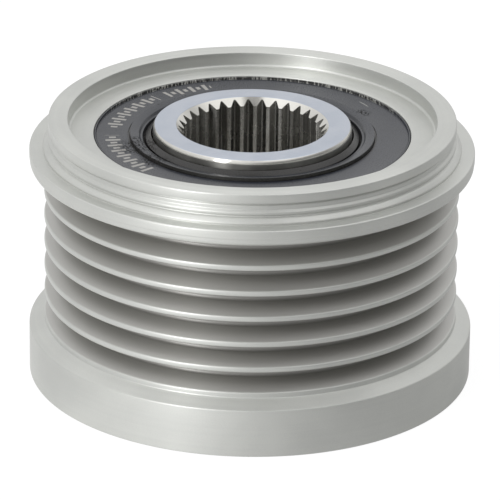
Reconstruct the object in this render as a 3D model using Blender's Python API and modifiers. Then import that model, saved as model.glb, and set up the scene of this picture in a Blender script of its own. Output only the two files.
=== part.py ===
"""Overrunning alternator pulley: a six-groove belt pulley that drives a hub through a roller clutch.

Lengths are in millimetres and angles in degrees. They turn into metres where meshes are made.
The axis is Z. The pulley stands on its rear face at Z = 0, and its front face looks up.
"""
import math

import bmesh
import bpy
from mathutils import Matrix

MM = 0.001

# Whole pulley
OUTER_RADIUS = 29.6
PULLEY_WIDTH = 35.6

# Pulley, belt side
GROOVE_COUNT = 6
GROOVE_PITCH = 3.56
GROOVE_ANGLE = 40.0
GROOVE_ROOT_WIDTH = 0.7
CREST_WIDTH = 0.75
FRONT_FLANGE_RISE = 1.94
FRONT_FLANGE_WIDTH = 2.38
FRONT_FLANGE_BEVEL = 1.25
FRONT_FLANGE_LAND_SHARE = 0.5
REAR_FLANGE_RISE = 2.04
REAR_CONE_WIDTH = 0.96
REAR_LAND_WIDTH = 0.855
EDGE_BEVEL = 0.2

# Pulley, front end
BORE_RADIUS = 21.0
LEDGE_WIDTH = 3.4
LEDGE_STEP_WIDTH = 1.3
LEDGE_FALL = 0.15
LEDGE_STEP_RISE = 0.06
RIM_WALL = 2.6
RIM_HEIGHT = 2.75
RECESS_DEPTH = 1.95
RECESS_FILLET = 0.35
SHOULDER_RISE = 0.95
SHOULDER_HEIGHT = 1.25
SHOULDER_FILLET = 0.2
SNAP_GROOVE_DROP = 1.35
SNAP_GROOVE_WIDTH = 0.4
SNAP_GROOVE_DEPTH = 0.3
SNAP_GROOVE_FLOOR_WIDTH = 0.16
BORE_CHAMFER = 0.4

# Hub
HUB_SEAT_RADIUS = 12.5
HUB_REAR_SINK = 0.5
HUB_CHAMFER = 0.35
HUB_STANDOUT = 1.56
NOSE_RADIUS = 13.2
NOSE_CHAMFER = 0.22
TOOTH_COUNT = 33
TOOTH_ROOT_RADIUS = 9.83
TOOTH_HEIGHT = 0.73
TOOTH_TIP_SHARE = 0.25
TOOTH_ROOT_SHARE = 0.08
FIRST_SPACE_ANGLE = 6.23
MOUTH_MARGIN = 0.27
SOCKET_DEPTH = 12.0
RELIEF_WIDTH = 1.6
RELIEF_MARGIN = 0.12
THREAD_RADIUS = 7.2
PILOT_RADIUS = 8.5
PILOT_LENGTH = 6.0

# Seals
SEAL_WIDTH = 2.0
SEAL_SINK = 0.4
REAR_SEAL_SINK = 0.6
SEAL_RIM_WIDTH = 0.25
SEAL_RIM_RISE = 0.3
SEAL_BEAD_RISE = 0.35
SEAL_BEAD_WIDTH = 1.15
SEAL_BEAD_SLANT = 0.17
SEAL_LIP_WIDTH = 0.48
SEAL_LIP_LENGTH = 0.85
SEAL_VALLEY_DEPTH = 0.4
SEAL_VALLEY_START = 0.6
SEAL_VALLEY_END = 0.9
SEAL_BEAD_START = 1.55
SEAL_WEB = 0.7

# Ball bearings
BEARING_WIDTH = 9.0
BALL_COUNT = 11
BALL_RADIUS = 2.5
RACE_SHOULDER = 1.3
CAGE_WEB = 0.9
CAGE_REACH = 1.7

# Roller clutch
ROLLER_COUNT = 10
ROLLER_RADIUS = 2.25
RAMP_RISE = 0.7
RAMP_SHARE = 0.89
CLUTCH_CAGE_WALL = 2.6
CLUTCH_CAGE_END = 1.0
SPRING_SPACE = 2.5
SPRING_THICKNESS = 0.2
SPRING_WIDTH = 4.5
SPRING_FOLDS = 4
SPRING_HALF_DEPTH = 0.78

# Fits
SEAT_CLEARANCE = 0.1
FACE_CLEARANCE = 0.1
BALL_CLEARANCE = 0.2
CAGE_CLEARANCE = 0.3
LIP_CLEARANCE = 0.2
ROLLER_CLEARANCE = 0.12

# Facets around the axis
PULLEY_FACETS = 48
HUB_FACETS = 2 * TOOTH_COUNT
SEAL_FACETS = 44
BEARING_FACETS = 3 * BALL_COUNT
RACEWAY_FACETS = 4
RAMP_FACETS = 5
CLUTCH_CAGE_FACETS = 4 * ROLLER_COUNT
BALL_FACETS = 8
ROLLER_FACETS = 12
POCKET_FACETS = 10

# How far the cutters reach past what they cut
CUT_MARGIN = 1.0


def clear_scene():
    for thing in list(bpy.data.objects):
        bpy.data.objects.remove(thing, do_unlink=True)


def new_collection(name):
    group = bpy.data.collections.new(name)
    bpy.context.scene.collection.children.link(group)
    return group


def metal(name, colour, roughness):
    return finish(name, colour, roughness, 1.0)


def finish(name, colour, roughness, metallic):
    look = bpy.data.materials.new(name)
    look.use_nodes = True
    shader = look.node_tree.nodes["Principled BSDF"]
    shader.inputs["Base Color"].default_value = (*colour, 1.0)
    shader.inputs["Roughness"].default_value = roughness
    shader.inputs["Metallic"].default_value = metallic
    return look


def place(mesh, name, group, look=None, height=0.0):
    thing = bpy.data.objects.new(name, mesh)
    thing.location.z = height * MM
    group.objects.link(thing)
    if look is not None:
        mesh.materials.append(look)
    return thing


def settle(thing):
    """Turns the object's modifiers into its mesh and shades it smooth between its sharp edges."""
    bpy.context.view_layer.update()
    graph = bpy.context.evaluated_depsgraph_get()
    mesh = bpy.data.meshes.new_from_object(thing.evaluated_get(graph))
    mesh.name = thing.name
    thing.modifiers.clear()
    thing.data = mesh
    smooth(mesh)
    return thing


def smooth(mesh):
    mesh.shade_smooth()
    mesh.set_sharp_from_angle(angle=math.radians(35.0))


def turned(name, profile, facets, group, look=None, height=0.0):
    """A closed profile of (radius, height) points, turned about Z. It runs down its outer side."""
    mesh = bpy.data.meshes.new(name)
    points = [(radius * MM, 0.0, level * MM) for radius, level in profile]
    edges = [(i, (i + 1) % len(points)) for i in range(len(points))]
    mesh.from_pydata(points, edges, [])
    thing = place(mesh, name, group, look, height)
    screw = thing.modifiers.new("turn", "SCREW")
    screw.axis = "Z"
    screw.angle = 2.0 * math.pi
    screw.steps = facets
    screw.render_steps = facets
    screw.use_merge_vertices = True
    screw.merge_threshold = 0.00001
    return thing


def extruded(name, outlines, length, group, look=None, height=0.0):
    """Flat closed outlines of (x, y) points, the first with the others as holes, given a length in Z."""
    curve = bpy.data.curves.new(name, "CURVE")
    curve.dimensions = "2D"
    curve.fill_mode = "BOTH"
    curve.extrude = 0.5 * length * MM
    for outline in outlines:
        spline = curve.splines.new("POLY")
        spline.points.add(len(outline) - 1)
        for point, (x, y) in zip(spline.points, outline):
            point.co = (x * MM, y * MM, 0.0, 1.0)
        spline.use_cyclic_u = True
    guide = bpy.data.objects.new(name + "_outline", curve)
    group.objects.link(guide)
    bpy.context.view_layer.update()
    graph = bpy.context.evaluated_depsgraph_get()
    mesh = bpy.data.meshes.new_from_object(guide.evaluated_get(graph))
    bpy.data.objects.remove(guide, do_unlink=True)
    mesh.name = name
    weld(mesh)
    return place(mesh, name, group, look, height + 0.5 * length)


def weld(mesh):
    edit = bmesh.new()
    edit.from_mesh(mesh)
    bmesh.ops.remove_doubles(edit, verts=edit.verts, dist=0.000005)
    bmesh.ops.recalc_face_normals(edit, faces=edit.faces)
    edit.to_mesh(mesh)
    edit.free()


def as_cutter(thing):
    thing.hide_render = True
    thing.display_type = "WIRE"
    return thing


def cut(thing, cutter):
    boolean = thing.modifiers.new("cut", "BOOLEAN")
    boolean.operation = "DIFFERENCE"
    boolean.solver = "EXACT"
    boolean.object = cutter


def polar(radius, angle):
    return radius * math.cos(math.radians(angle)), radius * math.sin(math.radians(angle))


def row_angle(index, count):
    return 360.0 * index / count


def hole(radius, facets):
    """The corner radius of a hole whose flat facets lie on its true radius."""
    return radius / math.cos(math.pi / facets)


def crest_radius():
    return OUTER_RADIUS - REAR_FLANGE_RISE


def groove_half_width(radius):
    slope = math.tan(math.radians(0.5 * GROOVE_ANGLE))
    return 0.5 * (GROOVE_PITCH - CREST_WIDTH) + (radius - crest_radius()) * slope


def groove_root_radius():
    slope = math.tan(math.radians(0.5 * GROOVE_ANGLE))
    return crest_radius() - 0.5 * (GROOVE_PITCH - CREST_WIDTH - GROOVE_ROOT_WIDTH) / slope


def front_flange_radius():
    return crest_radius() + FRONT_FLANGE_RISE


def front_flange_top():
    return PULLEY_WIDTH - RIM_HEIGHT - SHOULDER_HEIGHT


def front_flange_base():
    return front_flange_top() - FRONT_FLANGE_WIDTH


def groove_centre(index):
    """Height of a groove's middle, counted from the rear."""
    edge_radius = front_flange_radius() - FRONT_FLANGE_BEVEL
    last = front_flange_base() - groove_half_width(edge_radius)
    return last - (GROOVE_COUNT - 1 - index) * GROOVE_PITCH


def rear_cone_top():
    return groove_centre(0) - groove_half_width(crest_radius()) - REAR_LAND_WIDTH


def rim_radius():
    return BORE_RADIUS + LEDGE_WIDTH + RIM_WALL


def ledge_height():
    """Height of the ledge's inner edge, at the mouth of the bore."""
    return PULLEY_WIDTH - RECESS_DEPTH - LEDGE_FALL


def seal_face():
    return ledge_height() - SEAL_SINK


def front_bearing_base():
    return seal_face() - SEAL_WIDTH - FACE_CLEARANCE - BEARING_WIDTH


def rear_bearing_base():
    return REAR_SEAL_SINK + SEAL_WIDTH + FACE_CLEARANCE


def clutch_base():
    return rear_bearing_base() + BEARING_WIDTH + FACE_CLEARANCE


def clutch_width():
    return front_bearing_base() - FACE_CLEARANCE - clutch_base()


def ball_pitch_radius():
    return 0.5 * (BORE_RADIUS + HUB_SEAT_RADIUS)


def roller_pitch_radius():
    return HUB_SEAT_RADIUS + ROLLER_CLEARANCE + ROLLER_RADIUS


def rim_and_flange_profile():
    """The front end's outer side, from the rim's top down to the front flange's lower edge."""
    rim = rim_radius()
    top = PULLEY_WIDTH
    snap = top - SNAP_GROOVE_DROP
    floor = rim - SNAP_GROOVE_DEPTH
    flange = front_flange_radius()
    flange_top = front_flange_top()
    neck_base = flange_top + SHOULDER_HEIGHT
    shoulder = rim + SHOULDER_RISE
    return [
        (rim - EDGE_BEVEL, top),
        (rim, top - EDGE_BEVEL),
        (rim, snap + 0.5 * SNAP_GROOVE_WIDTH),
        (floor, snap + 0.5 * SNAP_GROOVE_FLOOR_WIDTH),
        (floor, snap - 0.5 * SNAP_GROOVE_FLOOR_WIDTH),
        (rim, snap - 0.5 * SNAP_GROOVE_WIDTH),
        (rim, neck_base),
        (shoulder, flange_top + 0.5 * SHOULDER_HEIGHT),
        (shoulder + 0.5 * SHOULDER_FILLET, flange_top + SHOULDER_FILLET),
        (shoulder + 1.5 * SHOULDER_FILLET, flange_top),
        (flange - EDGE_BEVEL, flange_top),
        (flange, flange_top - EDGE_BEVEL),
        (flange, flange_top - FRONT_FLANGE_LAND_SHARE * FRONT_FLANGE_WIDTH),
        (flange - FRONT_FLANGE_BEVEL, front_flange_base()),
    ]


def groove_profile():
    """The belt grooves from front to rear, each crest flat on top and each root flat at its floor."""
    points = []
    crest = crest_radius()
    half = groove_half_width(crest)
    root = 0.5 * GROOVE_ROOT_WIDTH
    for index in reversed(range(GROOVE_COUNT)):
        centre = groove_centre(index)
        if index < GROOVE_COUNT - 1:
            points.append((crest, centre + half))
        points.append((groove_root_radius(), centre + root))
        points.append((groove_root_radius(), centre - root))
        points.append((crest, centre - half))
    return points


def rear_flange_profile():
    return [
        (crest_radius(), rear_cone_top()),
        (OUTER_RADIUS, rear_cone_top() - REAR_CONE_WIDTH),
        (OUTER_RADIUS, EDGE_BEVEL),
        (OUTER_RADIUS - EDGE_BEVEL, 0.0),
    ]


def bore_and_recess_profile():
    """The inner side, from the rear face up through the bore to the ledge, the recess and the rim."""
    ledge = ledge_height()
    bore = hole(BORE_RADIUS, PULLEY_FACETS)
    wall = BORE_RADIUS + LEDGE_WIDTH
    top = PULLEY_WIDTH
    ledge_outer = top - RECESS_DEPTH
    return [
        (bore + BORE_CHAMFER, 0.0),
        (bore, BORE_CHAMFER),
        (bore, ledge - EDGE_BEVEL),
        (bore + EDGE_BEVEL, ledge),
        (bore + LEDGE_STEP_WIDTH, ledge + LEDGE_STEP_RISE),
        (wall - RECESS_FILLET, ledge_outer),
        (wall, ledge_outer + RECESS_FILLET),
        (wall, top - EDGE_BEVEL),
        (wall + EDGE_BEVEL, top),
    ]


def make_pulley(group, look):
    """Turned in one piece: rim, front flange, belt grooves and rear flange, with one bore right through."""
    profile = rim_and_flange_profile() + groove_profile() + rear_flange_profile() + bore_and_recess_profile()
    return settle(turned("pulley", profile, PULLEY_FACETS, group, look))


def hub_outer_profile():
    top = seal_face() + HUB_STANDOUT
    shoulder = front_bearing_base() + BEARING_WIDTH + FACE_CLEARANCE
    return [
        (NOSE_RADIUS - NOSE_CHAMFER, top),
        (NOSE_RADIUS, top - NOSE_CHAMFER),
        (NOSE_RADIUS, shoulder),
        (HUB_SEAT_RADIUS, shoulder),
        (HUB_SEAT_RADIUS, HUB_REAR_SINK + HUB_CHAMFER),
        (HUB_SEAT_RADIUS - HUB_CHAMFER, HUB_REAR_SINK),
    ]


def hub_inner_profile():
    """From the rear up: pilot bore, thread bore, relief, and the socket with its chamfered mouth."""
    top = seal_face() + HUB_STANDOUT
    tip = TOOTH_ROOT_RADIUS - TOOTH_HEIGHT
    mouth = TOOTH_ROOT_RADIUS + MOUTH_MARGIN
    relief = TOOTH_ROOT_RADIUS + RELIEF_MARGIN
    socket_base = top - SOCKET_DEPTH
    relief_base = socket_base - RELIEF_WIDTH
    step = PILOT_RADIUS - THREAD_RADIUS
    return [
        (PILOT_RADIUS + HUB_CHAMFER, HUB_REAR_SINK),
        (PILOT_RADIUS, HUB_REAR_SINK + HUB_CHAMFER),
        (PILOT_RADIUS, HUB_REAR_SINK + PILOT_LENGTH),
        (THREAD_RADIUS, HUB_REAR_SINK + PILOT_LENGTH + step),
        (THREAD_RADIUS, relief_base),
        (relief, relief_base),
        (relief, socket_base),
        (tip, socket_base),
        (tip, top - (mouth - tip)),
        (mouth, top),
    ]


def tooth_space_outline():
    """The star that cuts the tooth spaces: each space is a V with a narrow floor, open at the tooth tips."""
    pitch = 360.0 / TOOTH_COUNT
    floor = 0.5 * TOOTH_ROOT_SHARE * pitch
    tip = 0.5 * (1.0 - TOOTH_TIP_SHARE) * pitch
    drop_rate = TOOTH_HEIGHT / (tip - floor)
    inner = TOOTH_ROOT_RADIUS - drop_rate * (0.5 * pitch - floor)
    outline = []
    for index in range(TOOTH_COUNT):
        middle = FIRST_SPACE_ANGLE + index * pitch
        outline.append(polar(TOOTH_ROOT_RADIUS, middle - floor))
        outline.append(polar(TOOTH_ROOT_RADIUS, middle + floor))
        outline.append(polar(inner, middle + 0.5 * pitch))
    return outline


def make_hub(group, cutters, look):
    """Turned and ground in one piece. The rollers run on its seat, and the teeth take the fitting tool."""
    hub = turned("hub", hub_outer_profile() + hub_inner_profile(), HUB_FACETS, group, look)
    top = seal_face() + HUB_STANDOUT
    base = top - SOCKET_DEPTH - 0.5 * RELIEF_WIDTH
    star = extruded("tooth_spaces", [tooth_space_outline()], top + CUT_MARGIN - base, cutters, height=base)
    cut(hub, as_cutter(star))
    return settle(hub)


def seal_profile(lip_radius, sign):
    """A seal's section. Its outer face is at height 0, and sign is +1 where that face looks up."""
    outer = BORE_RADIUS - SEAT_CLEARANCE
    rim = outer - SEAL_RIM_WIDTH
    bead_inner = lip_radius + SEAL_BEAD_START
    bead_outer = bead_inner + SEAL_BEAD_WIDTH
    web = -SEAL_VALLEY_DEPTH - SEAL_WEB
    points = [
        (rim, SEAL_RIM_RISE),
        (outer, SEAL_RIM_RISE),
        (outer, -SEAL_WIDTH),
        (bead_outer, -SEAL_WIDTH),
        (bead_inner, web),
        (lip_radius + SEAL_LIP_WIDTH, web),
        (lip_radius, SEAL_BEAD_RISE - SEAL_LIP_LENGTH),
        (lip_radius, SEAL_BEAD_RISE),
        (lip_radius + SEAL_LIP_WIDTH, SEAL_BEAD_RISE),
        (lip_radius + SEAL_VALLEY_START, -SEAL_VALLEY_DEPTH),
        (lip_radius + SEAL_VALLEY_END, -SEAL_VALLEY_DEPTH),
        (bead_inner, SEAL_BEAD_RISE),
        (bead_outer, SEAL_BEAD_RISE),
        (bead_outer + SEAL_BEAD_SLANT, 0.0),
        (rim, 0.0),
    ]
    if sign > 0:
        return points
    return [(radius, -level) for radius, level in reversed(points)]


def make_seals(group, look):
    """Pressed into both ends of the bore. The front lip runs on the hub's nose, the rear one on its seat."""
    front_lip = hole(NOSE_RADIUS + LIP_CLEARANCE, SEAL_FACETS)
    rear_lip = hole(HUB_SEAT_RADIUS + LIP_CLEARANCE, SEAL_FACETS)
    front = turned("front_seal", seal_profile(front_lip, 1), SEAL_FACETS, group, look, seal_face())
    rear = turned("rear_seal", seal_profile(rear_lip, -1), SEAL_FACETS, group, look, REAR_SEAL_SINK)
    return [settle(front), settle(rear)]


def raceway(side):
    """Points of a raceway's arc from the top down, in the outer ring where side is +1 and else the inner."""
    ball_room = BALL_RADIUS + BALL_CLEARANCE
    sweep = math.acos(RACE_SHOULDER / ball_room)
    arc = ball_room / math.cos(sweep / RACEWAY_FACETS)
    pitch = ball_pitch_radius()
    middle = 0.5 * BEARING_WIDTH
    points = []
    for step in range(RACEWAY_FACETS + 1):
        angle = sweep - 2.0 * sweep * step / RACEWAY_FACETS
        radius = pitch + side * arc * math.cos(angle)
        if side > 0:
            radius = hole(radius, BEARING_FACETS)
        points.append((radius, middle + arc * math.sin(angle)))
    return points


def make_rings(row, base, group, look):
    """A bearing's two rings: the outer seats in the pulley's bore, the inner on the hub."""
    outer = BORE_RADIUS - SEAT_CLEARANCE
    inner = hole(HUB_SEAT_RADIUS + SEAT_CLEARANCE, BEARING_FACETS)
    outer_land = hole(ball_pitch_radius() + RACE_SHOULDER, BEARING_FACETS)
    inner_land = ball_pitch_radius() - RACE_SHOULDER
    outer_profile = [(outer, BEARING_WIDTH), (outer, 0.0), (outer_land, 0.0)]
    outer_profile += list(reversed(raceway(1)))
    outer_profile.append((outer_land, BEARING_WIDTH))
    inner_profile = [(inner_land, BEARING_WIDTH)]
    inner_profile += raceway(-1)
    inner_profile += [(inner_land, 0.0), (inner, 0.0), (inner, BEARING_WIDTH)]
    rings = [
        turned(row + "_outer_ring", outer_profile, BEARING_FACETS, group, look, base),
        turned(row + "_inner_ring", inner_profile, BEARING_FACETS, group, look, base),
    ]
    return [settle(ring) for ring in rings]


def make_ball_cage(row, base, direction, group, cutters, look):
    """A crown cage: a ring on the clutch's side of the balls, with round pockets open towards the seal."""
    pitch = ball_pitch_radius()
    half_wall = RACE_SHOULDER - CAGE_CLEARANCE
    middle = 0.5 * BEARING_WIDTH
    pocket = hole(BALL_RADIUS + BALL_CLEARANCE, POCKET_FACETS)
    closed = middle - direction * (pocket + CAGE_WEB)
    opened = middle + direction * CAGE_REACH
    low, high = min(closed, opened), max(closed, opened)
    outer, inner = pitch + half_wall, hole(pitch - half_wall, BEARING_FACETS)
    profile = [(outer, high), (outer, low), (inner, low), (inner, high)]
    cage = turned(row + "_cage", profile, BEARING_FACETS, group, look, base)
    for index in range(BALL_COUNT):
        pocket_cutter = radial_cylinder(row + "_pocket", pocket, pitch, base + middle, index, cutters)
        cut(cage, pocket_cutter)
    return settle(cage)


def radial_cylinder(name, radius, distance, height, index, cutters):
    """A cutter whose axis points away from the pulley's axis, through one ball's centre."""
    edit = bmesh.new()
    reach = 2.0 * (RACE_SHOULDER + CUT_MARGIN)
    bmesh.ops.create_cone(edit, cap_ends=True, segments=POCKET_FACETS, radius1=radius * MM,
                          radius2=radius * MM, depth=reach * MM)
    turn = Matrix.Rotation(math.radians(90.0), 4, "Y")
    bmesh.ops.transform(edit, matrix=turn, verts=edit.verts)
    mesh = bpy.data.meshes.new(name)
    edit.to_mesh(mesh)
    edit.free()
    cutter = place(mesh, "%s_%02d" % (name, index + 1), cutters)
    angle = row_angle(index, BALL_COUNT)
    x, y = polar(distance, angle)
    cutter.location = (x * MM, y * MM, height * MM)
    cutter.rotation_euler.z = math.radians(angle)
    return as_cutter(cutter)


def make_balls(row, base, group, look):
    """The balls share one mesh. Each sits in its pocket, on an empty at the bearing's middle."""
    carrier = bpy.data.objects.new(row + "_ball_row", None)
    carrier.location.z = (base + 0.5 * BEARING_WIDTH) * MM
    group.objects.link(carrier)
    edit = bmesh.new()
    rings = BALL_FACETS // 2 + 1
    bmesh.ops.create_uvsphere(edit, u_segments=BALL_FACETS, v_segments=rings, radius=BALL_RADIUS * MM)
    mesh = bpy.data.meshes.new(row + "_ball")
    edit.to_mesh(mesh)
    edit.free()
    mesh.shade_smooth()
    mesh.materials.append(look)
    for index in range(BALL_COUNT):
        ball = bpy.data.objects.new("%s_ball_%02d" % (row, index + 1), mesh)
        group.objects.link(ball)
        ball.parent = carrier
        x, y = polar(ball_pitch_radius(), row_angle(index, BALL_COUNT))
        ball.location = (x * MM, y * MM, 0.0)


def make_bearing(row, base, direction, group, cutters, looks):
    make_rings(row, base, group, looks["race"])
    make_ball_cage(row, base, direction, group, cutters, looks["cage"])
    make_balls(row, base, group, looks["ball"])


def ramp_outline():
    """The clutch ring's inner outline. Each ramp falls towards the hub, anticlockwise seen from the front."""
    sector = 360.0 / ROLLER_COUNT
    contact = roller_pitch_radius() + ROLLER_RADIUS + ROLLER_CLEARANCE
    high = contact + 0.5 * RAMP_RISE
    outline = []
    for index in range(ROLLER_COUNT):
        start = row_angle(index, ROLLER_COUNT) - 0.5 * RAMP_SHARE * sector
        for step in range(RAMP_FACETS + 1):
            part = step / RAMP_FACETS
            outline.append(polar(high - RAMP_RISE * part, start + RAMP_SHARE * sector * part))
    return outline


def make_clutch_ring(group, look):
    """Seats in the pulley's bore between the bearings, and clamps the rollers against the hub one way."""
    outer = BORE_RADIUS - SEAT_CLEARANCE
    rim = [polar(outer, row_angle(index, PULLEY_FACETS)) for index in range(PULLEY_FACETS)]
    ring = extruded("clutch_ring", [rim, ramp_outline()], clutch_width(), group, look, clutch_base())
    smooth(ring.data)
    return ring


def roller_length():
    return clutch_width() - 2.0 * (CLUTCH_CAGE_END + ROLLER_CLEARANCE)


def clutch_window_width():
    return 2.0 * (ROLLER_RADIUS + ROLLER_CLEARANCE) + SPRING_SPACE


def make_clutch_cage(group, cutters, look):
    """A moulded ring round the hub with a window for each roller and its spring."""
    inner = hole(HUB_SEAT_RADIUS + CAGE_CLEARANCE, CLUTCH_CAGE_FACETS)
    outer = inner + CLUTCH_CAGE_WALL
    width = clutch_width()
    profile = [(outer, width), (outer, 0.0), (inner, 0.0), (inner, width)]
    cage = turned("clutch_cage", profile, CLUTCH_CAGE_FACETS, group, look, clutch_base())
    for index in range(ROLLER_COUNT):
        cut(cage, window_cutter(index, cutters))
    return settle(cage)


def window_cutter(index, cutters):
    """A box that leaves the roller's clearance on one side of it and the spring's space on the other."""
    edit = bmesh.new()
    bmesh.ops.create_cube(edit, size=1.0)
    depth = 2.0 * (CLUTCH_CAGE_WALL + CUT_MARGIN)
    size = (depth * MM, clutch_window_width() * MM, (clutch_width() - 2.0 * CLUTCH_CAGE_END) * MM)
    bmesh.ops.scale(edit, vec=size, verts=edit.verts)
    middle = -0.5 * SPRING_SPACE
    bmesh.ops.translate(edit, vec=(roller_pitch_radius() * MM, middle * MM, 0.0), verts=edit.verts)
    mesh = bpy.data.meshes.new("clutch_window")
    edit.to_mesh(mesh)
    edit.free()
    cutter = place(mesh, "clutch_window_%02d" % (index + 1), cutters)
    cutter.location.z = (clutch_base() + 0.5 * clutch_width()) * MM
    cutter.rotation_euler.z = math.radians(row_angle(index, ROLLER_COUNT))
    return as_cutter(cutter)


def make_rollers(group, look):
    edit = bmesh.new()
    bmesh.ops.create_cone(edit, cap_ends=True, segments=ROLLER_FACETS, radius1=ROLLER_RADIUS * MM,
                          radius2=ROLLER_RADIUS * MM, depth=roller_length() * MM)
    mesh = bpy.data.meshes.new("clutch_roller")
    edit.to_mesh(mesh)
    edit.free()
    smooth(mesh)
    mesh.materials.append(look)
    for index in range(ROLLER_COUNT):
        roller = bpy.data.objects.new("clutch_roller_%02d" % (index + 1), mesh)
        group.objects.link(roller)
        x, y = polar(roller_pitch_radius(), row_angle(index, ROLLER_COUNT))
        roller.location = (x * MM, y * MM, (clutch_base() + 0.5 * clutch_width()) * MM)


def make_springs(group, look):
    """Folded leaf springs. Each lies between the cage's bar and its roller, clockwise of it."""
    start = -(ROLLER_RADIUS + ROLLER_CLEARANCE + SPRING_THICKNESS)
    end = -(ROLLER_RADIUS + SPRING_SPACE - SPRING_THICKNESS)
    for index in range(ROLLER_COUNT):
        edit = bmesh.new()
        folds = []
        for fold in range(SPRING_FOLDS + 1):
            part = fold / SPRING_FOLDS
            x = roller_pitch_radius() + (SPRING_HALF_DEPTH if fold % 2 else -SPRING_HALF_DEPTH)
            y = start + (end - start) * part
            folds.append(edit.verts.new((x * MM, y * MM, -0.5 * SPRING_WIDTH * MM)))
        edges = [edit.edges.new(pair) for pair in zip(folds, folds[1:])]
        leaf = bmesh.ops.extrude_edge_only(edit, edges=edges)
        raised = [item for item in leaf["geom"] if isinstance(item, bmesh.types.BMVert)]
        bmesh.ops.translate(edit, vec=(0.0, 0.0, SPRING_WIDTH * MM), verts=raised)
        mesh = bpy.data.meshes.new("clutch_spring")
        edit.to_mesh(mesh)
        edit.free()
        spring = place(mesh, "clutch_spring_%02d" % (index + 1), group, look)
        spring.location.z = (clutch_base() + 0.5 * clutch_width()) * MM
        spring.rotation_euler.z = math.radians(row_angle(index, ROLLER_COUNT))
        sheet = spring.modifiers.new("sheet", "SOLIDIFY")
        sheet.thickness = SPRING_THICKNESS * MM
        sheet.offset = 0.0


def build():
    clear_scene()
    parts = new_collection("alternator_pulley")
    cutters = new_collection("cutters")
    plated = metal("plated_steel", (0.56, 0.57, 0.56), 0.38)
    ground = metal("ground_steel", (0.52, 0.54, 0.6), 0.22)
    rubber = finish("seal_rubber", (0.06, 0.062, 0.068), 0.5, 0.0)
    spring_steel = metal("spring_steel", (0.4, 0.41, 0.43), 0.3)
    looks = {
        "race": metal("bearing_steel", (0.5, 0.51, 0.53), 0.2),
        "ball": metal("roller_steel", (0.6, 0.61, 0.63), 0.08),
        "cage": finish("cage_nylon", (0.05, 0.05, 0.05), 0.5, 0.0),
    }
    make_pulley(parts, plated)
    make_hub(parts, cutters, ground)
    make_seals(parts, rubber)
    make_bearing("rear", rear_bearing_base(), -1, parts, cutters, looks)
    make_bearing("front", front_bearing_base(), 1, parts, cutters, looks)
    make_clutch_ring(parts, looks["race"])
    make_clutch_cage(parts, cutters, looks["cage"])
    make_rollers(parts, looks["ball"])
    make_springs(parts, spring_steel)


build()
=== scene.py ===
import math

import bmesh
import bpy
from mathutils import Matrix, Vector


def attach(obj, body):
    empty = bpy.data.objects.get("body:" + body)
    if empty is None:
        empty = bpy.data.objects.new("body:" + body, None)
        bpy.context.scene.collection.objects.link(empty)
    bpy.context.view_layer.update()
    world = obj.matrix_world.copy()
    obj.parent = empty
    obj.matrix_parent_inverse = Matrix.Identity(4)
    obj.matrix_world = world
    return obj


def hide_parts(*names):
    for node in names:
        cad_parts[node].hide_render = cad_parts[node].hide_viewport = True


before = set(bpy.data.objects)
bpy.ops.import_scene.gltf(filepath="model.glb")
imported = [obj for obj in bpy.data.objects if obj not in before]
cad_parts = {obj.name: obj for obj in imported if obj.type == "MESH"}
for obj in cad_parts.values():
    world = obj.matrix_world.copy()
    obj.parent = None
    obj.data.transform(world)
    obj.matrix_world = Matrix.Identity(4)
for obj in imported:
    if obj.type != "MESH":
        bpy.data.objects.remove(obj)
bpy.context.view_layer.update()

# Camera. A long lens looks down on the front face from a little above, so that the six grooves and the open
# socket show together.
camera_tilt = 0.397
camera_roll = 0.0131
camera = bpy.data.objects.new("camera", bpy.data.cameras.new("camera"))
bpy.context.scene.collection.objects.link(camera)
camera.data.sensor_width = 36.0
camera.data.lens = 348.1
camera.data.shift_x = -0.00216
camera.data.shift_y = -0.03298
camera.data.clip_start = 0.01
camera.location = (0.0, -0.5949, 0.2684)
camera.rotation_euler = (Matrix.Rotation(0.5 * math.pi - camera_tilt, 3, "X")
                         @ Matrix.Rotation(camera_roll, 3, "Z")).to_euler()
bpy.context.scene.camera = camera

# Pulley. One steel turning: rim, snap groove, front flange, six belt grooves and rear flange, bored right
# through. It is plated a pale satin grey, and the tool's fine rings still show in the grooves.
MM = 0.001
merge_distance = 0.0005
crease_angle = math.radians(32.0)
pulley_facets = 256
pulley_top = 35.6
bore_radius = 21.0
recess_radius = 24.4
rim_radius = 27.0
snap_groove_radius = 26.7
front_flange_radius = 29.5
front_flange_top = 31.6
rear_flange_radius = 29.6
rear_flange_top = 6.545
groove_count = 6
groove_pitch = 3.56
groove_slope = math.tan(math.radians(20.0))
groove_half = 1.405
first_groove = 9.765
root_half = 0.35
crest_radius = 27.56
crest_top_drop = 0.2
crest_base_drop = 0.1
root_radius = crest_radius - (groove_half - root_half) / groove_slope


def verts_in(items):
    return [item for item in items if isinstance(item, bmesh.types.BMVert)]


def spun(shape, facets):
    """Turns a wire about the axis: it spins a sixteenth of the turn, then doubles that four times."""
    first_turn = math.pi / 8.0
    section = list(shape.verts) + list(shape.edges)
    bmesh.ops.spin(shape, geom=section, cent=(0.0, 0.0, 0.0), axis=(0.0, 0.0, 1.0), angle=first_turn,
                   steps=facets // 16)
    for doubling in range(4):
        everything = list(shape.verts) + list(shape.edges) + list(shape.faces)
        copied = bmesh.ops.duplicate(shape, geom=everything)["geom"]
        turn = Matrix.Rotation(first_turn * 2 ** doubling, 3, "Z")
        bmesh.ops.rotate(shape, cent=(0.0, 0.0, 0.0), matrix=turn, verts=verts_in(copied))
    bmesh.ops.remove_doubles(shape, verts=shape.verts, dist=merge_distance)
    return shape


def round_corner(shape, corner, reach, segments):
    bmesh.ops.bevel(shape, geom=[corner], offset=reach, offset_type="OFFSET", affect="VERTICES",
                    segments=segments, profile=0.5, material=-1)


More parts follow.
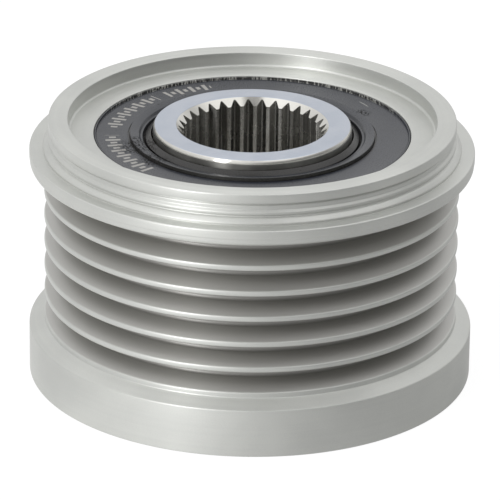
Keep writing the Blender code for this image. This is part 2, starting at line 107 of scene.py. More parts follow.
def section_wire(points, closed=True):
    """A section in the plane of the axis. Its points are (radius, height, reach of the corner's round)."""
    shape = bmesh.new()
    corners = [shape.verts.new((radius, 0.0, height)) for radius, height, reach in points]
    followers = corners[1:] + corners[:1] if closed else corners[1:]
    for start, end in zip(corners, followers):
        shape.edges.new((start, end))
    for corner, (radius, height, reach) in zip(corners, points):
        if reach:
            round_corner(shape, corner, reach, 4)
    return shape


def finished(shape, name, look, slot, body, *nodes):
    """Makes a piece of a shape in millimetres, on its body and in place of the nodes that it stands for."""
    bmesh.ops.recalc_face_normals(shape, faces=shape.faces)
    bmesh.ops.scale(shape, vec=(MM, MM, MM), verts=shape.verts)
    mesh = bpy.data.meshes.new(name)
    shape.to_mesh(mesh)
    shape.free()
    mesh.shade_smooth()
    mesh.set_sharp_from_angle(angle=crease_angle)
    mesh.materials.append(look)
    piece = bpy.data.objects.new(name, mesh)
    bpy.context.scene.collection.objects.link(piece)
    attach(piece, body)
    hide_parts(*nodes)


class Wire:
    """A value in a shader. Python's arithmetic on it adds Math nodes."""

    def __init__(self, tree, socket):
        self.tree = tree
        self.socket = socket

    def node(self, kind, settings, sockets, out=0):
        """Adds a node: its settings, then a value or a wire for each socket, by its name or number."""
        made = self.tree.nodes.new(kind)
        for setting, value in settings.items():
            setattr(made, setting, value)
        for key, value in sockets.items():
            if isinstance(value, Wire):
                self.tree.links.new(value.socket, made.inputs[key])
            else:
                made.inputs[key].default_value = value
        return Wire(self.tree, made.outputs[out])

    def math(self, operation, *values):
        return self.node("ShaderNodeMath", {"operation": operation}, dict(enumerate(values)))

    def __add__(self, other):
        return self.math("ADD", self, other)

    def __sub__(self, other):
        return self.math("SUBTRACT", self, other)

    def __rsub__(self, other):
        return self.math("SUBTRACT", other, self)

    def __mul__(self, other):
        return self.math("MULTIPLY", self, other)

    def __truediv__(self, other):
        return self.math("DIVIDE", self, other)

    def __pow__(self, other):
        return self.math("POWER", self, other)

    __radd__ = __add__
    __rmul__ = __mul__


def start_finish(name, roughness, metallic, **constants):
    """A Principled material, its shader, and wires for the place in millimetres: x, y, z and the radius."""
    look = bpy.data.materials.new(name)
    look.use_nodes = True
    tree = look.node_tree
    shader = tree.nodes["Principled BSDF"]
    shader.inputs["Roughness"].default_value = roughness
    shader.inputs["Metallic"].default_value = metallic
    for socket, value in constants.items():
        shader.inputs[socket.replace("_", " ")].default_value = value
    origin = Wire(tree, tree.nodes.new("ShaderNodeTexCoord").outputs["Object"])
    place = origin.node("ShaderNodeVectorMath", {"operation": "SCALE"}, {0: origin, "Scale": 1.0 / MM})
    x, y, z = (place.node("ShaderNodeSeparateXYZ", {}, {0: place}, out=axis) for axis in range(3))
    radius = (x * x + y * y) ** 0.5
    return look, shader, x, y, z, radius


def vector(x, y, z):
    return x.node("ShaderNodeCombineXYZ", {}, {0: x, 1: y, 2: z})


def noise(place, detail=2.0, roughness=0.5):
    sockets = {"Vector": place, "Scale": 1.0, "Detail": detail, "Roughness": roughness}
    return place.node("ShaderNodeTexNoise", {}, sockets)


def band(value, low, high):
    """A smooth step from 0 at low to 1 at high."""
    settings = {"interpolation_type": "SMOOTHSTEP"}
    return value.node("ShaderNodeMapRange", settings, {0: value, 1: low, 2: high})


def tint(mask, first, second):
    """The first colour where the mask is 0 and the second where it is 1."""
    return mask.node("ShaderNodeMix", {"data_type": "RGBA"}, {0: mask, 6: first, 7: second}, out=2)


def feed(shader, socket, wire):
    wire.tree.links.new(wire.socket, shader.inputs[socket])


def bump(height, strength, distance, normal=None):
    """Fine relief, its distance in millimetres, laid over another relief where one is given."""
    sockets = {"Height": height, "Strength": strength, "Distance": distance * MM}
    if normal is not None:
        sockets["Normal"] = normal
    return height.node("ShaderNodeBump", {}, sockets)


def plated_steel():
    """Satin plating over turning marks. Painted shade darkens the grooves; the rear flange is rougher."""
    look, shader, x, y, z, radius = start_finish("plated_steel", 0.45, 1.0, Anisotropic=0.6,
                                                 Anisotropic_Rotation=0.25)
    plate_grey, plate_pale = (0.61, 0.618, 0.595, 1.0), (0.67, 0.678, 0.65, 1.0)
    # Painted shade: darker colours for the groove flanks and their roots.
    groove_shade_grey, groove_shade_pale = (0.42, 0.415, 0.395, 1.0), (0.54, 0.535, 0.515, 1.0)
    root_shade_grey = (0.34, 0.335, 0.32, 1.0)
    rings = noise(vector(radius * 9.0 + x * 0.05, y * 0.05, z * 9.0), 3.0, 0.6)
    bands = noise(vector(radius * 1.6, x * 0.02 + y * 0.02, z * 1.6))
    grain = noise(vector(x * 6.0, y * 6.0, z * 6.0))
    cloud = noise(vector(x * 0.12, y * 0.12, z * 0.12))
    rear_flange = 1.0 - band(z, 6.3, 6.7)
    ribbed_length = band(z, 7.6, 8.2) * (1.0 - band(z, 28.9, 29.1)) * band(radius, 24.0, 24.1)
    flank = (1.0 - band(radius, 27.3, 27.5)) * ribbed_length
    shade = cloud * 0.5 + grain * 0.2 + bands * 0.3
    plate = tint(band(shade, 0.35, 0.65), plate_grey, plate_pale)
    # Painted shade: the colour darkens down the groove flanks towards the roots, darkest at the roots.
    groove_shade = tint(band(radius, 25.2, 27.4), groove_shade_grey, groove_shade_pale)
    groove_shade = tint(band(radius, 24.8, 25.1), root_shade_grey, groove_shade)
    feed(shader, "Base Color", tint(flank, plate, groove_shade))
    feed(shader, "Roughness", 0.42 + rear_flange * 0.05 + band(bands, 0.3, 0.7) * 0.05)
    fine = bump(rings, 0.1, 0.01)
    feed(shader, "Normal", bump(grain * rear_flange, 0.2, 0.01, fine))
    return look


def belt_grooves():
    """Six V grooves from the front one down, with a narrow rounded crest between each two."""
    corners = []
    for groove in reversed(range(groove_count)):
        middle = first_groove + groove * groove_pitch
        if groove < groove_count - 1:
            corners.append((crest_radius, middle + groove_half - crest_base_drop, 0.22))
        corners.append((root_radius, middle + root_half, 0.3))
        corners.append((root_radius, middle - root_half, 0.3))
        corners.append((crest_radius, middle - groove_half - crest_top_drop, 0.16))
    return corners


def pulley_profile():
    """The pulley's section, from the rim down the outside and back up through the bore."""
    rim = [(recess_radius, pulley_top, 0.15), (rim_radius, pulley_top, 0.2), (rim_radius, 34.36, 0.07)]
    snap_groove = [
        (26.5, 34.3, 0.05), (26.54, 34.08, 0.08),
        (snap_groove_radius, 33.94, 0.12), (snap_groove_radius, 33.44, 0.08),
    ]
    neck = [
        (27.04, 33.12, 0.12), (27.04, 32.8, 0.08), (26.88, 32.72, 0.05), (26.9, 32.52, 0.06),
        (27.15, 32.42, 0.12), (27.78, 31.86, 0.2), (27.7, 31.72, 0.04), (27.7, front_flange_top, 0.03),
    ]
    front_flange = [
        (front_flange_radius, front_flange_top, 0.22), (front_flange_radius, 30.48, 0.05),
        (29.43, 30.36, 0.05), (29.45, 29.72, 0.32), (28.3, 29.15, 0.25),
    ]
    rear_flange = [
        (crest_radius, 7.505, 0.1), (rear_flange_radius, rear_flange_top, 0.15),
        (rear_flange_radius, 0.0, 0.2),
    ]
    bore = [(bore_radius, 0.0, 0.35), (bore_radius, 33.5, 0.12)]
    ledge = [(22.25, 33.56, 0.1), (24.1, 33.6, 0.1), (recess_radius, 33.75, 0.2)]
    return rim + snap_groove + neck + front_flange + belt_grooves() + rear_flange + bore + ledge


pulley = spun(section_wire(pulley_profile()), pulley_facets)
finished(pulley, "turned_pulley", plated_steel(), "plated_steel", "pulley_body", "pulley")

# Roller clutch. A hardened ring with ten ramps is pressed into the pulley. A moulded cage holds ten ground
# rollers, and folded leaf springs press them into the ramps, so that the belt drives the hub one way only.
seat_radius = 20.9
clutch_low = 11.8
clutch_high = 21.9
clutch_middle = 0.5 * (clutch_low + clutch_high)
roller_count = 10
roller_facets = 48
roller_radius = 2.25
roller_half = 3.93
roller_round = 0.25
roller_orbit = 14.87
sector = 2.0 * math.pi / roller_count
ramp_columns = 16
ramp_half = math.radians(16.02)
ramp_radius = 17.59
ramp_rise = 0.7
cage_outer = 15.4
cage_wall = 2.6
cage_rim = 1.0
cage_rows = (clutch_low, clutch_low + cage_rim, clutch_high - cage_rim, clutch_high)
cage_soft_edge = 0.12
window_columns = 10
window_radius = 14.1
window_behind = 4.87
window_ahead = 2.37
window_start = -window_behind / window_radius
window_end = window_ahead / window_radius
leaf_legs = 4
leaf_width = 4.5
leaf_thickness = 0.2
leaf_half = 0.78
leaf_start = 2.57
leaf_step = 0.495
leaf_round = 0.18


def bright_steel(name, dark, light, roughness):
    """Ground steel, softly clouded, with the wheel's fine rings."""
    look, shader, x, y, z, radius = start_finish(name, roughness, 1.0)
    cloud = noise(vector(x * 0.5, y * 0.5, z * 0.5), 3.0)
    rings = noise(vector(radius * 12.0, x * 0.05, z * 12.0 + y * 0.05), 3.0, 0.6)
    feed(shader, "Base Color", tint(band(cloud, 0.35, 0.65), dark, light))
    feed(shader, "Roughness", roughness - 0.03 + band(cloud, 0.3, 0.7) * 0.06)
    feed(shader, "Normal", bump(rings, 0.15, 0.01))
    return look


def moulded_nylon():
    """Near-black nylon, in which the glass fibres show as a fine grain."""
    look, shader, x, y, z, _ = start_finish("cage_nylon", 0.5, 0.0)
    black, grey = (0.016, 0.015, 0.014, 1.0), (0.035, 0.033, 0.03, 1.0)
    fibres = noise(vector(x * 7.0, y * 7.0, z * 2.0), 4.0, 0.6)
    feed(shader, "Base Color", tint(band(fibres, 0.4, 0.7), black, grey))
    feed(shader, "Roughness", 0.42 + fibres * 0.15)
    feed(shader, "Normal", bump(fibres, 0.25, 0.02))
    return look


ring_steel = bright_steel("bearing_steel", (0.52, 0.53, 0.55, 1.0), (0.6, 0.61, 0.63, 1.0), 0.24)
roller_steel = bright_steel("roller_steel", (0.62, 0.63, 0.65, 1.0), (0.7, 0.71, 0.73, 1.0), 0.14)
spring_steel = bright_steel("spring_steel", (0.4, 0.41, 0.43, 1.0), (0.48, 0.49, 0.51, 1.0), 0.3)
nylon = moulded_nylon()


def wrapped(columns, rows, place):
    """Wraps a flat grid round the axis: place gives the radius, angle and height of a column and a row."""
    shape = bmesh.new()
    bmesh.ops.create_grid(shape, x_segments=columns, y_segments=rows, size=1.0)
    for vert in shape.verts:
        column = round(0.5 * (vert.co.x + 1.0) * columns)
        row = round(0.5 * (vert.co.y + 1.0) * rows)
        radius, angle, height = place(column, row)
        vert.co = (radius * math.cos(angle), radius * math.sin(angle), height)
    bmesh.ops.remove_doubles(shape, verts=shape.verts, dist=merge_distance)
    bmesh.ops.recalc_face_normals(shape, faces=shape.faces)
    return shape


def softened(shape, reach):
    """Rounds the sharp edges of a moulded shape."""
    sharp_angle = math.radians(50.0)
    sharp = [edge for edge in shape.edges if edge.is_manifold and edge.calc_face_angle() > sharp_angle]
    bmesh.ops.bevel(shape, geom=sharp, offset=reach, offset_type="OFFSET", affect="EDGES", segments=2,
                    profile=0.5, material=-1, clamp_overlap=True)
    return shape


def moved(shape, radius, index, count, height):
    """Moves a shape out to a radius, up to a height, and round to one place of a row."""
    bmesh.ops.translate(shape, vec=(radius, 0.0, height), verts=shape.verts)
    turn = Matrix.Rotation(2.0 * math.pi * index / count, 3, "Z")
    bmesh.ops.rotate(shape, cent=(0.0, 0.0, 0.0), matrix=turn, verts=shape.verts)
    return shape


def ramp_place(column, row):
    """The clutch ring's section at a column. A sector's columns span its ramp, and the step back follows."""
    index, part = divmod(column, ramp_columns)
    share = part / (ramp_columns - 1)
    angle = sector * index - ramp_half + 2.0 * ramp_half * share
    radius = ramp_radius - ramp_rise * share if row in (1, 2) else seat_radius
    height = clutch_high if row in (2, 3) else clutch_low
    return radius, angle, height


def window_place(column, row):
    """The clutch cage's outer wall at a column. The last column of a sector is the middle of its bar."""
    index, part = divmod(column, window_columns)
    window_steps = window_columns - 2
    if part <= window_steps:
        angle = window_start + (window_end - window_start) * part / window_steps
    else:
        angle = 0.5 * (window_end + window_start + sector)
    return cage_outer, angle + sector * index, cage_rows[row]


def clutch_cage_shape():
    """A thin sleeve whose window faces are taken out before it gets its wall."""
    shape = wrapped(window_columns * roller_count, 3, window_place)
    openings = []
    for face in shape.faces:
        middle = face.calc_center_median()
        angle = (math.atan2(middle.y, middle.x) - window_start) % sector
        if angle < window_end - window_start and cage_rows[1] < middle.z < cage_rows[2]:
            openings.append(face)
    bmesh.ops.delete(shape, geom=openings, context="FACES")
    bmesh.ops.solidify(shape, geom=shape.faces, thickness=cage_wall)
    return softened(shape, cage_soft_edge)


def roller_shape(index):
    """A cylinder with small rounded ends, turned as a section that is open on its own axis."""
    section = [
        (0.0, -roller_half, 0.0), (roller_radius, -roller_half, roller_round),
        (roller_radius, roller_half, roller_round), (0.0, roller_half, 0.0),
    ]
    roller = spun(section_wire(section, closed=False), roller_facets)
    return moved(roller, roller_orbit, index, roller_count, clutch_middle)


def leaf_shape(index):
    """A strip of four legs with three folds, standing on edge clockwise of its roller."""
    shape = bmesh.new()
    folds = []
    for fold in range(leaf_legs + 1):
        side = leaf_half if fold % 2 else -leaf_half
        folds.append(shape.verts.new((side, -leaf_start - leaf_step * fold, 0.0)))
    for start, end in zip(folds, folds[1:]):
        shape.edges.new((start, end))
    for fold in folds[1:-1]:
        round_corner(shape, fold, leaf_round, 3)
    raised = bmesh.ops.extrude_edge_only(shape, edges=shape.edges[:])["geom"]
    bmesh.ops.translate(shape, vec=(0.0, 0.0, leaf_width), verts=verts_in(raised))
    bmesh.ops.recalc_face_normals(shape, faces=shape.faces)
    bmesh.ops.solidify(shape, geom=shape.faces, thickness=leaf_thickness)
    return moved(shape, roller_orbit, index, roller_count, clutch_middle - 0.5 * leaf_width)


clutch_ring = wrapped(ramp_columns * roller_count, 4, ramp_place)
finished(clutch_ring, "ramped_clutch_ring", ring_steel, "bearing_steel", "pulley_body", "clutch_ring")
finished(clutch_cage_shape(), "windowed_clutch_cage", nylon, "cage_nylon", "pulley_body", "clutch_cage")
for index in range(roller_count):
    number = "%02d" % (index + 1)
    finished(roller_shape(index), "ground_roller_" + number, roller_steel, "roller_steel",
             "clutch_roller_" + number + "_body", "clutch_roller_" + number)
    finished(leaf_shape(index), "leaf_spring_" + number, spring_steel, "spring_steel", "pulley_body",
             "clutch_spring_" + number)

# Ball bearings. One at each end, with hardened rings ground all over. The outer ring is pressed into the
# pulley and the inner ring onto the hub, and a moulded crown cage keeps eleven balls apart in the raceways.
front_bearing_base = 22.0
rear_bearing_base = 2.7
bearing_width = 9.0
bearing_facets = 192
inner_wall_radius = 12.6
ring_round = 0.35
land_round = 0.15
ball_count = 11
ball_radius = 2.5
ball_orbit = 16.75
ball_pitch = 2.0 * math.pi / ball_count
race_radius = 2.7
race_steps = 12
land_offset = 1.3
race_sweep = math.acos(land_offset / race_radius)
crown_outer = 17.75
crown_wall = 2.0
crown_back = 3.74
crown_front = 1.7
pocket_columns = 20
pocket_start = math.radians(141.0)
pocket_sweep = math.radians(258.0)


def ring_section(base, wall, side):
    """A bearing ring: its wall, two faces, and a raceway between two lands. Side is 1 outside the balls."""
    land = ball_orbit + side * land_offset
    top = base + bearing_width
    middle = base + 0.5 * bearing_width
    points = [(wall, base, ring_round), (land, base, land_round)]
    for step in range(race_steps + 1):
        angle = race_sweep * (2.0 * step / race_steps - 1.0)
        reach = ball_orbit + side * race_radius * math.cos(angle)
        points.append((reach, middle + race_radius * math.sin(angle), 0.0))
    points += [(land, top, land_round), (wall, top, ring_round)]
    return points


def crown_cage(middle, direction):
    """A ring whose edge dips round each ball and closes over it a little. Direction is 1 to the front."""

    def place(column, row):
        index, part = divmod(column, pocket_columns)
        angle = ball_pitch * (index + part / pocket_columns - 0.5)
        if row == 0:
            return crown_outer, angle, middle - direction * crown_back
        if part == 0:
            return crown_outer, angle, middle + direction * crown_front
        turn = pocket_start + pocket_sweep * (part - 1) / (pocket_columns - 2)
        angle = ball_pitch * index + race_radius * math.cos(turn) / ball_orbit
        return crown_outer, angle, middle + direction * race_radius * math.sin(turn)

    shape = wrapped(pocket_columns * ball_count, 1, place)
    bmesh.ops.solidify(shape, geom=shape.faces, thickness=crown_wall)
    return softened(shape, cage_soft_edge)


for row, base, direction in (("front", front_bearing_base, 1), ("rear", rear_bearing_base, -1)):
    middle = base + 0.5 * bearing_width
    for part, wall, side, body in (("outer", seat_radius, 1, "pulley_body"),
                                   ("inner", inner_wall_radius, -1, "hub_body")):
        ring = spun(section_wire(ring_section(base, wall, side)), bearing_facets)
        finished(ring, row + "_raceway_" + part, ring_steel, "bearing_steel", body,
                 row + "_" + part + "_ring")
    finished(crown_cage(middle, direction), row + "_crown_cage", nylon, "cage_nylon", row + "_cage_body",
             row + "_cage")
    for index in range(ball_count):
        number = "_%02d" % (index + 1)
        ball = bmesh.new()
        bmesh.ops.create_icosphere(ball, subdivisions=3, radius=ball_radius)
        moved(ball, ball_orbit, index, ball_count, middle)
        finished(ball, row + "_bearing_ball" + number, roller_steel, "roller_steel",
                 row + "_ball" + number + "_body", row + "_ball" + number)

# Hub. Turned and ground from bearing steel. Its nose has a broached socket of 33 fine teeth for the fitting
# tool, its bore an M16 thread that screws onto the shaft, and its rear end a plain pilot.
tooth_count = 33
steps_per_tooth = 16
tooth_phase = math.radians(6.23)
tooth_root = 9.84
tooth_tip = 9.1
tooth_space_floor = 0.05
tooth_flank = 0.325
hub_top = 34.66
hub_rear = 0.5
nose_radius = 13.2
nose_base = 31.1
ring_seat_radius = 12.5
mouth_radius = 10.1
relief_radius = 9.95
socket_base = 22.66
pilot_radius = 8.5
pilot_end = 6.5
thread_core = 7.2
thread_pitch = 1.5
thread_cut = 0.8
thread_mouth_half = 0.556
thread_flank = 0.462
thread_low = 8.0
thread_high = 21.06
rows_per_turn = 8


def ground_steel():
    """Polished steel with painted light: a cool reflection on the face, highlights on chamfers and tooth
    tips, shade on the round side and broached teeth.
    """
    look, shader, x, y, z, radius = start_finish("ground_steel", 0.2, 1.0, Anisotropic=0.9,
                                                 Anisotropic_Rotation=0.25)
    # Painted reflection: the face's cool blue tint stands in for the surroundings it reflects.
    face_reflection_deep, face_reflection_pale = (0.51, 0.55, 0.625, 1.0), (0.55, 0.585, 0.655, 1.0)
    # Painted highlight: the chamfers are painted pale and warm.
    chamfer_highlight_deep, chamfer_highlight_pale = (0.68, 0.67, 0.63, 1.0), (0.74, 0.73, 0.69, 1.0)
    # Painted shade: the round side is painted dark, standing in for the dark seal that it reflects.
    side_shade_deep, side_shade_pale = (0.27, 0.265, 0.25, 1.0), (0.36, 0.355, 0.335, 1.0)
    # Painted shade: the broached teeth are painted dark for the shade down in the socket.
    socket_shade_deep, socket_shade_pale = (0.3, 0.295, 0.28, 1.0), (0.38, 0.375, 0.355, 1.0)
    # Painted highlight: the tooth tips are painted pale.
    tip_highlight_pale = (0.72, 0.71, 0.68, 1.0)
    rings = noise(vector(radius * 14.0, x * 0.05, z * 14.0 + y * 0.05), 3.0, 0.6)
    cloud = noise(vector(x * 0.35, y * 0.35, z * 0.35), 3.0)
    streaks = noise(vector(x * 4.0, y * 4.0, z * 0.12), 2.0)
    mottle = band(cloud, 0.35, 0.7)
    below_mouth = 1.0 - band(z - radius, 24.3, 24.5)
    broached = (1.0 - band(radius, 9.9, 10.05)) * band(z, 20.9, 21.2) * below_mouth
    round_side = (1.0 - band(z, 34.06, 34.22)) * band(radius, 11.0, 12.0)
    tips = 1.0 - band(radius, 9.14, 9.22)
    chamfer = tint(mottle, chamfer_highlight_deep, chamfer_highlight_pale)
    ends = tint(band(z, 34.6, 34.655), chamfer, tint(mottle, face_reflection_deep, face_reflection_pale))
    bright = tint(round_side, ends, tint(mottle, side_shade_deep, side_shade_pale))
    teeth = tint(tips, tint(band(streaks, 0.4, 0.65), socket_shade_deep, socket_shade_pale), tip_highlight_pale)
    feed(shader, "Base Color", tint(broached, bright, teeth))
    feed(shader, "Roughness", 0.16 + band(cloud, 0.3, 0.7) * 0.04 + round_side * 0.16 + broached * 0.08)
    fine = bump(rings * (1.0 - broached), 0.15, 0.01)
    feed(shader, "Normal", bump(streaks * broached, 0.25, 0.02, fine))
    return look


def tooth_radius(angle):
    """The socket's wall at an angle: a V-shaped space with a narrow floor, then a flat tooth tip."""
    share = (angle - tooth_phase) * tooth_count / (2.0 * math.pi)
    share = abs(share - round(share))
    climb = min(max((share - tooth_space_floor) / tooth_flank, 0.0), 1.0)
    return tooth_root - (tooth_root - tooth_tip) * climb


def thread_depth(angle, height):
    """How deep the thread is cut at a place: flat crests and floors, 60 degree flanks, and run-outs."""
    turn = height / thread_pitch - angle / (2.0 * math.pi)
    away = abs(turn - math.floor(turn) - 0.5) * thread_pitch
    cut = min(max((thread_mouth_half - away) / thread_flank, 0.0), 1.0) * thread_cut
    ends = min((height - thread_low) / thread_pitch, (thread_high - height) / thread_pitch, 1.0)
    return cut * max(ends, 0.0)


def hub_outside():
    """The hub's outside, from the socket's mouth over the nose and down to the pilot's chamfer."""
    points = [
        (mouth_radius, hub_top, 0.0), (12.94, hub_top, 0.05), (nose_radius, hub_top - 0.36, 0.24),
        (nose_radius, nose_base, 0.05), (ring_seat_radius, nose_base, 0.05), (ring_seat_radius, 0.85, 0.1),
        (12.15, hub_rear, 0.1), (8.85, hub_rear, 0.0),
    ]
    wire = section_wire(points, closed=False)
    bmesh.ops.rotate(wire, matrix=Matrix.Rotation(tooth_phase, 3, "Z"), verts=wire.verts)
    return spun(wire, tooth_count * steps_per_tooth)


def bore_rows():
    """The bore from the rear up, as rows of (kind, radius, height). Teeth set their own radius."""
    rows = [("round", pilot_radius, 0.85), ("round", pilot_radius, pilot_end), ("round", thread_core, 7.8)]
    steps = int((thread_high - thread_low) / (thread_pitch / rows_per_turn))
    for step in range(steps + 1):
        rows.append(("thread", thread_core, thread_low + (thread_high - thread_low) * step / steps))
    rows += [
        ("round", relief_radius, thread_high), ("round", relief_radius, socket_base),
        ("teeth", None, socket_base), ("mouth", None, hub_top), ("round", mouth_radius, hub_top),
    ]
    return rows


def bore_place(kind, radius, height, angle):
    """The radius and height of a row at an angle. The mouth is a cone that cuts the teeth off."""
    if kind == "thread":
        return radius + thread_depth(angle, height), height
    if kind == "teeth":
        return tooth_radius(angle), height
    if kind == "mouth":
        return tooth_radius(angle), height - (mouth_radius - tooth_radius(angle))
    return radius, height


def hub_shape():
    """Grows the bore row by row, from the rear edge of the outside up to the mouth."""
    shape = hub_outside()
    rim = [edge for edge in shape.edges if edge.is_boundary and edge.verts[0].co.z < 1.0]
    for kind, radius, height in bore_rows():
        grown = bmesh.ops.extrude_edge_only(shape, edges=rim)["geom"]
        rim = [item for item in grown if isinstance(item, bmesh.types.BMEdge) and item.is_boundary]
        for vert in verts_in(grown):
            angle = math.atan2(vert.co.y, vert.co.x)
            reach, level = bore_place(kind, radius, height, angle)
            vert.co = (reach * math.cos(angle), reach * math.sin(angle), level)
    bmesh.ops.remove_doubles(shape, verts=shape.verts, dist=merge_distance)
    return shape


finished(hub_shape(), "ground_hub", ground_steel(), "ground_steel", "hub_body", "hub")

# Seals. Nitrile rubber moulded on a steel ring and pressed into both ends of the bore. A raised bead carries
# the lip that runs on the hub, and fine ribs round the edge grip the bore.
seal_facets = 720
seal_edge = 20.65
rib_depth = 0.12
front_lip_radius = 13.4
front_seal_face = 33.1
rear_lip_radius = 12.7
rear_seal_face = 0.6
tick_pitch = 2.95
tick_groups = ((-43.5, -2.0), (6.7, 45.5), (51.0, 72.1))


def near(x, y, centre_x, centre_y, reach):
    """1 round a place on the face, and 0 beyond its reach."""
    away = ((x - centre_x) ** 2.0 + (y - centre_y) ** 2.0) ** 0.5
    return 1.0 - band(away, 0.4 * reach, reach)


def fraction(value):
    return value.math("FRACT", value)


def absolute(value):
    return value.math("ABSOLUTE", value)


def printed_ticks(x, y, z, radius):
    """Plain tick marks in three groups, each second one long. Angles run from the left to the back."""
    degrees = x.math("ARCTAN2", y, x * -1.0) * math.degrees(1.0)
    step = degrees / tick_pitch
    stroke = 1.0 - band(absolute(fraction(step) - 0.5), 0.24, 0.3)
    long_tick = band(fraction(step / 2.0), 0.49, 0.51)
    inner_end = 18.05 - long_tick * 0.55
    outer_end = 19.0 + long_tick * 0.55
    length = band(radius - inner_end, 0.0, 0.06) * (1.0 - band(radius - outer_end, -0.06, 0.0))
    first, second, third = (band(degrees, start, start + 0.1) * (1.0 - band(degrees, end - 0.1, end))
                            for start, end in tick_groups)
    front_face = band(z, 30.0, 31.0)
    return stroke * length * (first + second + third) * front_face


def seal_rubber():
    """Dark rubber with a soft sheen, printed pale on its front face and a little worn."""
    look, shader, x, y, z, radius = start_finish("seal_rubber", 0.28, 0.0, IOR=1.6)
    rubber_deep, rubber_pale = (0.008, 0.011, 0.019, 1.0), (0.012, 0.015, 0.024, 1.0)
    ink, patch_black = (0.34, 0.33, 0.31, 1.0), (0.004, 0.004, 0.004, 1.0)
    pale_mark, fleck_dark = (0.3, 0.3, 0.28, 1.0), (0.01, 0.01, 0.01, 1.0)
    # A neutral black for the lip, and painted shade for the groove at the bead's foot.
    lip_and_foot_shade_black = (0.008, 0.007, 0.006, 1.0)
    grain = noise(vector(x * 9.0, y * 9.0, z * 9.0), 3.0)
    cloud = noise(vector(x * 0.3, y * 0.3, z * 0.3))
    specks = noise(vector(x * 3.6, y * 3.6, z), 2.0)
    flecks = noise(vector(x * 6.5, y * 0.8, z), 1.0)
    rings = noise(vector(radius * 9.0, x * 0.1, y * 0.1), 2.0)
    printed = printed_ticks(x, y, z, radius)

    # Black matt patches on the bead, a few specks on the flat, one pale scratch of wear, and dark and pale
    # flecks round the edge at the back.
    black_patches = near(x, y, -14.9, -4.6, 3.6) + near(x, y, -12.6, -9.6, 2.6) + near(x, y, 14.6, 8.6, 1.6)
    dabs = band(specks, 0.5, 0.56) * black_patches + band(specks, 0.71, 0.74)
    off_scratch = absolute(radius - 19.1 - (y - 11.9) * 0.12)
    scratch = (1.0 - band(off_scratch, 0.03, 0.09)) * near(x, y, 15.0, 11.9, 1.4)
    back_edge_flecks = band(radius, 20.5, 20.62) * band(y, 4.0, 14.0)

    # The lip and the fine groove at the bead's foot are painted a neutral black; in the foot groove that is
    # painted shade. The gap between lip and bead is matt.
    foot = band(radius, 16.14, 16.2) * (1.0 - band(radius, 16.46, 16.5))
    dark_lip_and_foot_shade = 1.0 - band(radius, 14.4, 14.6) + foot
    gap = band(radius, 14.18, 14.24) * (1.0 - band(radius, 14.5, 14.55)) * (1.0 - band(z, 32.9, 33.05))

    base = tint(printed, tint(band(cloud, 0.3, 0.7), rubber_deep, rubber_pale), ink)
    base = tint(scratch, tint(dabs, base, patch_black), pale_mark)
    base = tint(back_edge_flecks, base, tint(band(flecks, 0.52, 0.58), fleck_dark, pale_mark))
    feed(shader, "Base Color", tint(dark_lip_and_foot_shade, base, lip_and_foot_shade_black))
    feed(shader, "Roughness", 0.24 + grain * 0.08 + printed * 0.2 + gap * 0.5 + dabs * 0.7)
    turned = bump(rings * dark_lip_and_foot_shade, 0.5, 0.02, bump(grain, 0.15, 0.01))
    feed(shader, "Normal", bump(dabs, 0.5, 0.1, turned))
    return look


def seal_profile(lip, face, side):
    """A seal's section, from its ribbed edge round the back to the lip, the bead and the flat face."""
    edge = [(seal_edge, 0.3, 0.04), (seat_radius, 0.3, 0.04), (seat_radius, -2.0, 0.1)]
    back = [(lip + 2.7, -2.0, 0.2), (lip + 1.55, -1.1, 0.1), (lip + 0.48, -1.1, 0.1)]
    lip_edge = [(lip, -0.5, 0.1), (lip, 0.33, 0.06), (lip + 0.08, 0.33, 0.04), (lip + 0.78, -0.22, 0.08)]
    gap = [(lip + 0.84, -0.8, 0.06), (lip + 1.08, -0.8, 0.06)]
    bead_shelf = [(lip + 1.12, -0.12, 0.05), (lip + 1.38, -0.12, 0.04)]
    bead = [(lip + 1.62, 0.22, 0.06), (lip + 2.8, 0.44, 0.06)]
    foot = [(lip + 2.88, -0.12, 0.03), (lip + 3.06, -0.12, 0.03)]
    flat = [(lip + 3.08, 0.0, 0.0), (seal_edge, 0.0, 0.04)]
    points = edge + back + lip_edge + gap + bead_shelf + bead + foot + flat
    return [(radius, face + side * height, reach) for radius, height, reach in points]


def ribbed(shape, face, side):
    """Cuts fine ribs round the edge of the seal's face, by pushing out each second facet of it."""
    for vert in shape.verts:
        distance = math.hypot(vert.co.x, vert.co.y)
        if abs(distance - seal_edge) < 0.1 and side * (vert.co.z - face) > 0.1:
            step = round(math.atan2(vert.co.y, vert.co.x) * seal_facets / (2.0 * math.pi))
            if step % 2:
                vert.co.x *= 1.0 + rib_depth / distance
                vert.co.y *= 1.0 + rib_depth / distance
    return shape


rubber = seal_rubber()
for row, lip, face, side in (("front", front_lip_radius, front_seal_face, 1),
                             ("rear", rear_lip_radius, rear_seal_face, -1)):
    seal = ribbed(spun(section_wire(seal_profile(lip, face, side)), seal_facets), face, side)
    finished(seal, row + "_lip_seal", rubber, "seal_rubber", "pulley_body", row + "_seal")

# Studio. A pale floor in a bright, even room, dimmer to the right, and one tall soft lamp at the front left.
# The camera sees floor and room as plain white. The floor lies a hair below the rear face, so that the two
# faces don't coincide.
floor_drop = 0.00002
floor_half = 3.0
floor_glow = 0.8
lamp_heading = math.radians(234.0)
lamp_distance = 0.8
lamp_height = 0.38
lamp_aim = Vector((0.0, 0.0, 0.02))
scene = bpy.context.scene
scene.view_settings.view_transform = "Standard"


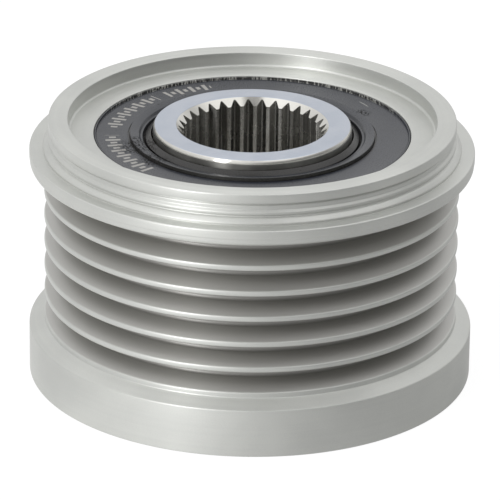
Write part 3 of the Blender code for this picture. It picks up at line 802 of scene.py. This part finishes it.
def toward(direction, azimuth, elevation=0.0):
    """How far a direction points to an azimuth and an elevation in degrees: 1 is straight to it."""
    heading = math.radians(azimuth)
    climb = math.radians(elevation)
    target = (math.cos(climb) * math.cos(heading), math.cos(climb) * math.sin(heading), math.sin(climb))
    sockets = {0: direction, 1: target}
    return direction.node("ShaderNodeVectorMath", {"operation": "DOT_PRODUCT"}, sockets, out=1)


def blended(share, first, second):
    return first * (1.0 - share) + second * share


def room_level(direction):
    """How bright the room is in a direction: brightest overhead and front left, dimmer to the right."""
    front_left = toward(direction, 232.0)
    up = toward(direction, 0.0, 90.0)
    floor = 0.88 - 0.44 * band(toward(direction, 355.0), -0.5, 1.0) + 0.15 * band(front_left, 0.8, 1.0)
    walls = 1.05 - 0.75 * band(toward(direction, 330.0), 0.1, 0.9) + 0.2 * band(front_left, 0.6, 1.0)
    ceiling = 1.5 - 1.2 * band(toward(direction, 270.0, 67.0), 0.975, 0.992)
    level = blended(band(up, 0.0, 0.15), floor, walls)
    return blended(band(up, 0.5, 0.8), level, ceiling)


def studio_light(direction, backdrop):
    """The light from a direction: one plain level for what the camera sees, and the room's for the rest."""
    path = direction.tree.nodes.new("ShaderNodeLightPath")
    camera_ray = Wire(direction.tree, path.outputs["Is Camera Ray"])
    seen = camera_ray + Wire(direction.tree, path.outputs["Is Transmission Ray"])
    return seen * backdrop + (1.0 - seen) * room_level(direction)


world = bpy.data.worlds.new("studio")
world.use_nodes = True
scene.world = world
tree = world.node_tree
tree.nodes.clear()
sky = Wire(tree, tree.nodes.new("ShaderNodeTexCoord").outputs["Generated"])
surround = tree.nodes.new("ShaderNodeBackground")
tree.links.new(studio_light(sky, 1.0).socket, surround.inputs["Strength"])
room = tree.nodes.new("ShaderNodeOutputWorld")
tree.links.new(surround.outputs[0], room.inputs["Surface"])

floor_look = bpy.data.materials.new("pale_floor")
floor_look.use_nodes = True
tree = floor_look.node_tree
tree.nodes.clear()
place = Wire(tree, tree.nodes.new("ShaderNodeTexCoord").outputs["Object"])
outward = place.node("ShaderNodeVectorMath", {"operation": "NORMALIZE"}, {0: place})
glow = tree.nodes.new("ShaderNodeEmission")
tree.links.new(studio_light(outward, 1.1).socket, glow.inputs["Strength"])
card = tree.nodes.new("ShaderNodeBsdfDiffuse")
card.inputs["Color"].default_value = (0.9, 0.9, 0.9, 1.0)
blend = tree.nodes.new("ShaderNodeMixShader")
blend.inputs[0].default_value = floor_glow
tree.links.new(card.outputs[0], blend.inputs[1])
tree.links.new(glow.outputs[0], blend.inputs[2])
output = tree.nodes.new("ShaderNodeOutputMaterial")
tree.links.new(blend.outputs[0], output.inputs["Surface"])

sheet = bmesh.new()
bmesh.ops.create_grid(sheet, x_segments=1, y_segments=1, size=floor_half,
                      matrix=Matrix.Translation((0.0, 0.0, -floor_drop)))
mesh = bpy.data.meshes.new("studio_floor")
sheet.to_mesh(mesh)
sheet.free()
mesh.materials.append(floor_look)
floor = bpy.data.objects.new("studio_floor", mesh)
scene.collection.objects.link(floor)

lamp = bpy.data.lights.new("front_left_lamp", "AREA")
lamp.shape = "RECTANGLE"
lamp.size = 0.2
lamp.size_y = 0.55
lamp.energy = 1.9
holder = bpy.data.objects.new("front_left_lamp", lamp)
scene.collection.objects.link(holder)
holder.location.x = lamp_distance * math.cos(lamp_heading)
holder.location.y = lamp_distance * math.sin(lamp_heading)
holder.location.z = lamp_height
holder.rotation_euler = (lamp_aim - holder.location).to_track_quat("-Z", "Y").to_euler()
